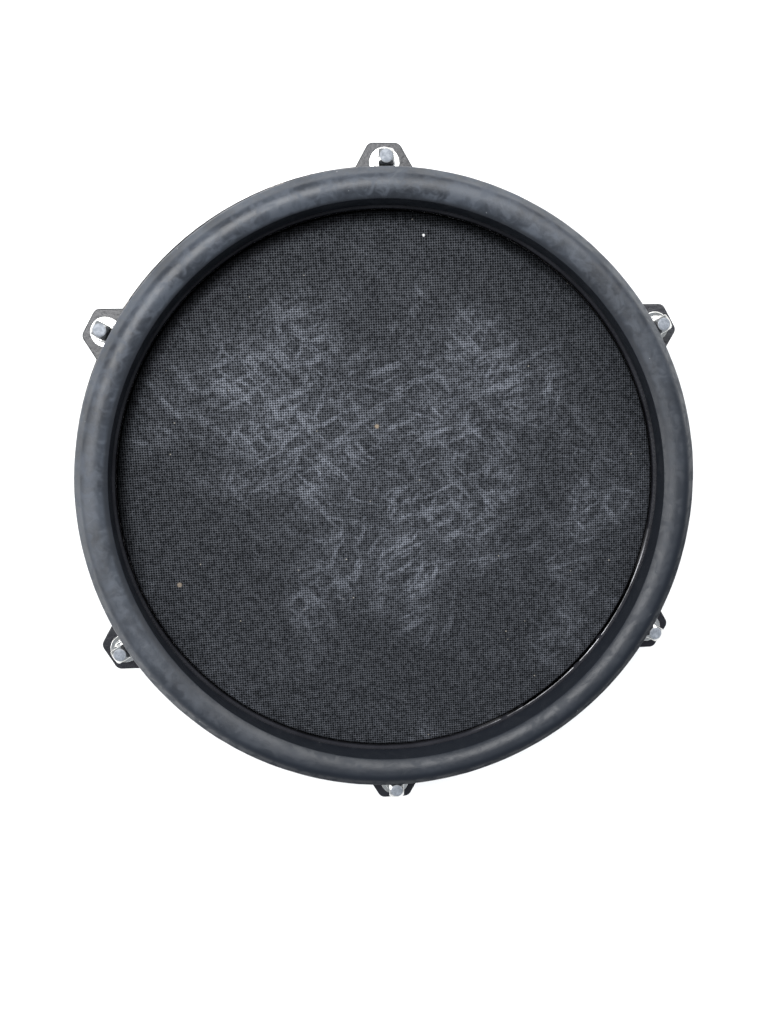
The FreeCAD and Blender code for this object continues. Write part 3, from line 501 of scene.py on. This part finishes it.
def rim_bead():
    """Rubber bead with a round crown, a sloping outer flank and an inner skirt round the hoop's wall. It is a
    little uneven as moulded, and its crease is oval."""
    skirt_r, crease_r, slot_in, slot_out = 104.6 * MM, 104.85 * MM, 105.53 * MM, 107.27 * MM
    skirt_foot, slot_top, under = HEAD_TOP + 1.6 * MM, HEAD_TOP + 9.0 * MM, HEAD_TOP + 0.7 * MM
    crown_r, flank = 5.9 * MM, 46
    crown = (109.5 * MM, RIM_TOP - 0.05 * MM - crown_r)
    out_r = RIM_OUT - 0.02 * MM
    crease = math.degrees(math.acos((crease_r - crown[0]) / crown_r))
    crease_height = crown[1] + crown_r * math.sin(math.radians(crease))

    arch = arc(crown, crown_r, 90 - flank, crease - 3, 40)
    shoulder = arch[0][1] - (out_r - arch[0][0]) * math.tan(math.radians(flank))
    edge = [(slot_out, under + 0.4 * MM, 0), (112.6 * MM, under, 3.2 * MM),
            (out_r, under + 3.6 * MM, 2.2 * MM), (out_r, shoulder, 2.6 * MM), (*arch[0], 0)]
    bead = rounded(edge, 14, closed=False)[:-1] + arch
    skirt = rounded([(*bead[-1], 0), (crease_r, crease_height, 0.2 * MM), (skirt_r, skirt_foot, 0.3 * MM),
                     (slot_in, skirt_foot, 0.15 * MM), (slot_in, slot_top, 0.2 * MM),
                     (slot_out, slot_top, 0.2 * MM), (*bead[0], 0)], 4, closed=False)[1:-1]
    longest = 0.6 * MM
    bead = even(bead, longest, closed=False)
    skirt = even([bead[-1]] + skirt + [bead[0]], longest, closed=False)[1:-1]
    segments = 900
    points, faces = ring_grid(bead + skirt, segments)

    # The bead is drawn in by a smooth noise, which fades out towards the skirt
    ramp = np.minimum(np.arange(len(bead)), len(bead) - 1 - np.arange(len(bead)))
    on_bead = np.repeat(np.append(np.clip(ramp / 5, 0, 1), np.zeros(len(skirt))), segments)
    across = np.hypot(points[:, 0], points[:, 1])
    out = np.stack([points[:, 0] / across * (across - crown[0]), points[:, 1] / across * (across - crown[0]),
                    points[:, 2] - crown[1]], axis=-1)
    out /= np.linalg.norm(out, axis=1, keepdims=True)
    sway = np.array([noise.noise(Vector(p) * 45) * 0.12 + noise.noise(Vector(p) * 160) * 0.05
                     for p in points])
    points = points - (np.abs(sway) * on_bead)[:, None] * MM * out

    # The crease is drawn in, most along the oval's short axis
    short_axis, mean, swing = math.radians(18.6), 0.53, 0.6
    drop = (points[:, 2] - skirt_foot) / (crease_height - skirt_foot)
    over = (crown[0] - across) / (crown[0] - crease_r)
    inner = np.where(drop > 0.97, over, np.where(across < slot_in - 0.1 * MM, drop, 0.0)).clip(0, 1)
    turn = np.arctan2(points[:, 1], points[:, 0]) - short_axis
    drawn_in = (mean + swing * np.cos(2 * turn)) * MM * inner
    points[:, :2] *= (1 - drawn_in / across)[:, None]
    made = piece("rim_bead", points, faces, "rim_rubber", "hoop")
    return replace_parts(made, "rim_cover")


def mesh_cloth():
    """The mesh: flat over the pad, round the bearing edge and down to the flesh hoop. Its UV map is the flat
    cloth."""
    edge_r = 103.2 * MM
    skirt_r, skirt_z = 105.0 * MM, HEAD_TOP - 7.05 * MM
    under = 0.04 * MM
    line = rounded([(0, HEAD_TOP - under, 0), (edge_r, HEAD_TOP - under, 1.0 * MM),
                    (edge_r, HEAD_TOP - 4.2 * MM, 4.0 * MM), (skirt_r, skirt_z, 0)], 12, closed=False)
    line = even(line, 2.0 * MM, closed=False)
    segments = 360
    points, faces = ring_grid(line, segments, closed=False)
    made = piece("mesh_cloth", points, faces, "mesh")
    run = np.concatenate([[0], np.cumsum(np.linalg.norm(np.diff(np.array(line), axis=0), axis=1))])
    along = np.append(np.repeat(run[1:], segments), 0.0)
    radius = np.maximum(np.hypot(points[:, 0], points[:, 1]), 1e-9)
    flat = points[:, :2] / radius[:, None] * along[:, None]
    layer = made.data.uv_layers.new(name="cloth")
    loops = np.array([loop.vertex_index for loop in made.data.loops])
    layer.data.foreach_set("uv", flat[loops].astype(np.float32).ravel())
    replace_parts(made, "mesh_head")
    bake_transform(made)
    return made


def thread(radius, pitch, foot, top, depth=0.62, segments=44):
    """Points and faces of a right-hand screw thread up the Z axis, closed below. Its rows wind with the
    helix."""
    root = radius - depth * pitch
    row_r = (radius, radius, root, root)
    row_z = (0.0, 0.14 * pitch, 0.5 * pitch, 0.64 * pitch)
    turns = math.ceil((top - foot) / pitch) + 2
    end_r = root - 0.15 * pitch
    points, faces = [], []
    rows = 4 * turns
    for i in range(rows):
        for k in range(segments):
            angle = math.tau * k / segments
            z = foot + (i // 4 - 1 + k / segments) * pitch + row_z[i % 4]
            z = min(max(z, foot), top)
            r = min(row_r[i % 4], end_r + (z - foot))
            points.append((r * math.cos(angle), r * math.sin(angle), z))
    for i in range(rows - 5):
        for k in range(segments):
            here = i * segments + k
            after = here + 1 if k < segments - 1 else (i + 4) * segments
            faces.append((here, after, after + segments, here + segments))
    points.append((0, 0, foot))
    faces += [(len(points) - 1, (k + 1) % segments, k) for k in range(segments)]
    return points, faces


def joined(*parts):
    """Several (points, faces) pairs as one."""
    points, faces = [], []
    for more_points, more_faces in parts:
        start = len(points)
        points += [tuple(p) for p in more_points]
        faces += [tuple(start + v for v in face) for face in more_faces]
    return points, faces


def key_head(foot, top, half, trim_h, trim_r):
    """A square drum-key head whose corners a cone trims down to a small round top."""
    segments = 96
    squareness, sharpness = 14, 40
    levels = [(foot, 0.0)] + [(z, 0.0) for z in np.linspace(top - trim_h - 0.4 * MM, top - 0.16 * MM, 16)]
    levels += [(top - 0.08 * MM, 0.05 * MM), (top - 0.02 * MM, 0.16 * MM), (top, 0.3 * MM), (top, 1.2 * MM)]
    points = []
    for z, draw in levels:
        cone = trim_r + (half + 1.3 * MM - trim_r) * (top - z) / trim_h
        for k in range(segments):
            angle = math.tau * k / segments
            square = half / (abs(math.cos(angle)) ** squareness
                             + abs(math.sin(angle)) ** squareness) ** (1 / squareness)
            square = min(square, 1.29 * half)
            r = (square ** -sharpness + cone ** -sharpness) ** (-1 / sharpness) - draw
            points.append((r * math.cos(angle), r * math.sin(angle), z))
    around = [(k, (k + 1) % segments) for k in range(segments)]
    faces = []
    for i in range(len(levels) - 1):
        low, high = i * segments, (i + 1) * segments
        faces += [(low + k, low + m, high + m, high + k) for k, m in around]
    points.append((0, 0, top))
    last = (len(levels) - 1) * segments
    faces += [(len(points) - 1, last + k, last + m) for k, m in around]
    return points, faces


def tension_rod(number):
    """One chromed rod with its rolled thread, collar and drum-key head."""
    low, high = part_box(f"tension_rod_{number}")
    centre = (low + high) / 2
    thread_r, pitch = 2.72 * MM, 1.0583 * MM
    key_half, trim_h, trim_r = 2.93 * MM, 1.7 * MM, 2.15 * MM
    washer_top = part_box("tension_washers")[1].z
    collar_r, collar_top = 4.06 * MM, washer_top + 1.8 * MM
    collar_line = rounded([(0, washer_top, 0), (collar_r, washer_top, 0.2 * MM),
                           (collar_r, collar_top, 0.7 * MM), (0, collar_top, 0)], 7, closed=False)
    collar = ring_grid(collar_line, 72, closed=False)
    head = key_head(collar_top - 0.2 * MM, high.z, key_half, trim_h, trim_r)
    points, faces = joined(thread(thread_r, pitch, low.z, washer_top + 0.1 * MM), collar, head)
    turn = (Matrix.Translation((centre.x, centre.y, 0))
            @ Matrix.Rotation(math.atan2(centre.y, centre.x), 4, "Z"))
    points = [turn @ Vector(p) for p in points]
    made = piece(f"threaded_rod_{number}", points, faces, "chrome", f"rod_{number}", weld=True)
    made.data.set_sharp_from_angle(angle=math.radians(38))
    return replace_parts(made, f"tension_rod_{number}")


def evaluated(made, *modifiers):
    """made with (type, settings) modifiers applied, one after another."""
    for kind, settings in modifiers:
        modifier = made.modifiers.new(kind.lower(), kind)
        for key, value in settings.items():
            setattr(modifier, key, value)
    graph = bpy.context.evaluated_depsgraph_get()
    mesh = bpy.data.meshes.new_from_object(made.evaluated_get(graph))
    made.modifiers.clear()
    made.data = mesh
    return made


def outline_mesh(name, loops, half_thickness, bevel, steps=16):
    """A plate from closed smooth loops of (x, y), in the XY plane, with round edges of radius bevel."""
    curve = bpy.data.curves.new(name, "CURVE")
    curve.dimensions = "2D"
    curve.fill_mode = "BOTH"
    curve.extrude = half_thickness - bevel
    curve.bevel_depth = bevel
    curve.bevel_resolution = 4
    for loop in loops:
        spline = curve.splines.new("BEZIER")
        spline.bezier_points.add(len(loop) - 1)
        for point, (x, y) in zip(spline.bezier_points, loop):
            point.co = (x, y, 0)
            point.handle_left_type = point.handle_right_type = "AUTO"
        spline.use_cyclic_u = True
        spline.resolution_u = steps
    shape = bpy.data.objects.new(name, curve)
    bpy.context.scene.collection.objects.link(shape)
    mesh = bpy.data.meshes.new_from_object(shape.evaluated_get(bpy.context.evaluated_depsgraph_get()))
    points = [tuple(v.co) for v in mesh.vertices]
    faces = [tuple(f.vertices) for f in mesh.polygons]
    bpy.data.objects.remove(shape)
    return points, faces


def wing_bolt():
    """The clamp's bolt: a cast head with two thumb wings that run smoothly into the hub, and a rolled
    thread. It is built along its own axis, then laid along Y."""
    low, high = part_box("wing_bolt")
    x, z = (low.x + high.x) / 2, (low.z + high.z) / 2
    hub_foot, hub_top, foot_r, top_r = 21 * MM, 31 * MM, 5.55 * MM, 4.35 * MM
    thread_foot, thread_top, thread_r, pitch = 8.3 * MM, 22.0 * MM, 2.97 * MM, 1.0 * MM
    tip_top, tip_r = 8.6 * MM, 1.95 * MM
    hub_line = rounded([(0, hub_foot, 0), (foot_r, hub_foot, 0.6 * MM), (top_r, hub_top, 0.9 * MM),
                        (0, hub_top, 0)], 5, closed=False)
    hub = ring_grid(hub_line, 64, closed=False)
    wing = [(2.0, 24.0), (5.4, 23.2), (9.0, 25.4), (11.2, 28.6), (10.9, 32.4), (9.6, 33.0), (8.2, 30.8),
            (5.6, 28.9), (2.0, 29.4)]
    halves = []
    for side in (1, -1):
        loop = [(side * u * MM, v * MM) for u, v in wing]
        points, faces = outline_mesh("wing", [loop], 1.45 * MM, 1.0 * MM)
        halves.append(([(p[0], p[2], p[1]) for p in points], faces))
    points, faces = joined(hub, *halves)
    cast = piece("cast", points, faces, "nickel")
    evaluated(cast, ("REMESH", {"mode": "VOXEL", "voxel_size": 0.28 * MM, "use_smooth_shade": True}),
              ("SMOOTH", {"factor": 0.6, "iterations": 6}))
    head = ([tuple(v.co) for v in cast.data.vertices], [tuple(f.vertices) for f in cast.data.polygons])
    bpy.data.objects.remove(cast)
    tip = ring_grid([(0, low.y), (1.5 * MM, low.y), (tip_r, low.y + 0.4 * MM), (tip_r, tip_top),
                     (0, tip_top)], 40, closed=False)
    points, faces = joined(head, thread(thread_r, pitch, thread_foot, thread_top), tip)
    along_y = Matrix(((0, 1, 0, 0), (0, 0, 1, 0), (1, 0, 0, 0), (0, 0, 0, 1)))
    lay = Matrix.Translation((x, 0, z)) @ along_y
    points = [lay @ Vector(p) for p in points]
    made = piece("wing_bolt_cast", points, faces, "nickel", "wing_bolt", weld=True)
    made.data.set_sharp_from_angle(angle=math.radians(40))
    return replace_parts(made, "wing_bolt")


def uneven(made, depth, scale):
    """Moves the points in along their normals by a smooth noise, as cut foam is never quite flat."""
    moves = [v.normal * depth * abs(noise.noise(v.co * scale)) for v in made.data.vertices]
    for vertex, move in zip(made.data.vertices, moves):
        vertex.co -= move
    return made


def foam_disc(name, node, top_r, foot_r, waist=0.0):
    """A turned foam piece, its side drawn in at the waist, between the faces that hold it."""
    low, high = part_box(node)
    centre = (low + high) / 2
    height = high.z - low.z
    soft = min(0.22 * height, 0.5 * MM)
    side = [(foot_r + (top_r - foot_r) * t - waist * math.sin(math.pi * t), low.z + height * t)
            for t in np.linspace(0, 1, 9)]
    line = [(0, low.z), (foot_r - soft, low.z)] + side[1:-1] + [(top_r - soft, high.z), (0, high.z)]
    points, faces = ring_grid(even(line, 1.0 * MM, closed=False), 72, closed=False)
    made = piece(name, [(p[0] + centre.x, p[1] + centre.y, p[2]) for p in points], faces, "foam")
    uneven(made, 0.12 * MM, 500)
    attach(made, "pad_shell")
    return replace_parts(made, node)


def foam_ring():
    """Open-cell foam sheet on the sensor plate, punched for the grommets."""
    low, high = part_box("damping_foam")
    reach, middle_r, grommet_at, grommet_r = high.x, 24 * MM, 72 * MM, 6 * MM
    bevel = 0.9 * MM

    def loop(x, y, r, steps=16):
        angles = [math.tau * k / steps for k in range(steps)]
        return [(x + r * math.cos(a), y + r * math.sin(a)) for a in angles]

    loops = [loop(0, 0, reach - bevel, 64), loop(0, 0, middle_r + bevel, 32)]
    for angle in map(math.radians, (45, 135, 225, 315)):
        loops.append(loop(grommet_at * math.cos(angle), grommet_at * math.sin(angle), grommet_r + bevel))
    points, faces = outline_mesh("foam", loops, (high.z - low.z) / 2, bevel, steps=3)
    middle = (low.z + high.z) / 2
    made = piece("foam_ring", [(p[0], p[1], p[2] + middle) for p in points], faces, "foam")
    evaluated(made, ("REMESH", {"mode": "VOXEL", "voxel_size": 1.6 * MM, "use_smooth_shade": True}))
    uneven(made, 0.3 * MM, 160)
    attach(made, "pad_shell")
    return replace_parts(made, "damping_foam")


rim_bead()
mesh_cloth()
for number in range(1, 7):
    tension_rod(number)
wing_bolt()
foam_ring()
foam_disc("foam_cone", "trigger_cone", 7.0 * MM, 9.8 * MM, waist=0.3 * MM)
foam_disc("foam_cushion", "piezo_cushion", 14.0 * MM, 14.0 * MM)
foam_disc("foam_tape", "rim_piezo_tape", 10.0 * MM, 10.0 * MM)


# Stage, light and camera

def soft_box(name, azimuth, lean, size, radiance):
    """A round soft light over the pad, at an azimuth in degrees from +X and a lean in degrees from straight
    above."""
    azimuth, lean = math.radians(azimuth), math.radians(lean)
    aim = Vector((0, 0, 45 * MM))
    distance = 1.5
    away = Vector((math.sin(lean) * math.cos(azimuth), math.sin(lean) * math.sin(azimuth), math.cos(lean)))
    data = bpy.data.lights.new(name, "AREA")
    data.shape = "DISK"
    data.size = size
    data.energy = radiance * math.pi * math.pi * size ** 2 / 4
    lamp = bpy.data.objects.new(name, data)
    lamp.location = aim + distance * away
    lamp.rotation_euler = (aim - lamp.location).to_track_quat("-Z", "Y").to_euler()
    bpy.context.scene.collection.objects.link(lamp)


def sky():
    """An even, slightly blue room light."""
    world = bpy.data.worlds.new("studio")
    world.use_nodes = True
    background = world.node_tree.nodes["Background"]
    background.inputs["Color"].default_value = (0.9, 0.965, 1.04, 1.0)
    background.inputs["Strength"].default_value = 0.42
    bpy.context.scene.world = world


def floor():
    """A pale floor just under the pad's feet."""
    mesh = bpy.data.meshes.new("floor")
    reach = 30.0
    corners = [(-reach, -reach, 0), (reach, -reach, 0), (reach, reach, 0), (-reach, reach, 0)]
    mesh.from_pydata(corners, [], [(0, 1, 2, 3)])
    look = Look("floor_look", Roughness=0.9)
    look.set("Base Color", look.mix(look.noise(3, 3), (0.88, 0.88, 0.88), (0.91, 0.91, 0.91)))
    mesh.materials.append(look.material)
    made = bpy.data.objects.new("floor", mesh)
    made.location.z = -0.2 * MM
    bpy.context.scene.collection.objects.link(made)


def camera():
    """Straight above, a little to the left and towards the far lug, as a phone is held."""
    data = bpy.data.cameras.new("camera")
    data.sensor_width = 36.0
    data.lens = 28.43
    data.clip_start = 10 * MM
    made = bpy.data.objects.new("camera", data)
    place = Vector((-26.7 * MM, 32.4 * MM, BEAD_MID_Z + 302.3 * MM))
    turn = Vector((-0.132, -0.078, -0.023))    # axis, as long as the angle in radians
    made.matrix_world = Matrix.Translation(place) @ Matrix.Rotation(turn.length, 4, turn.normalized())
    bpy.context.scene.collection.objects.link(made)
    bpy.context.scene.camera = made


floor()
camera()
soft_box("window", azimuth=130, lean=25, size=1.2, radiance=7.5)
soft_box("wall", azimuth=60, lean=46, size=1.3, radiance=3.4)
soft_box("left", azimuth=185, lean=56, size=1.1, radiance=3.0)
sky()
bpy.context.scene.view_settings.view_transform = "Standard"
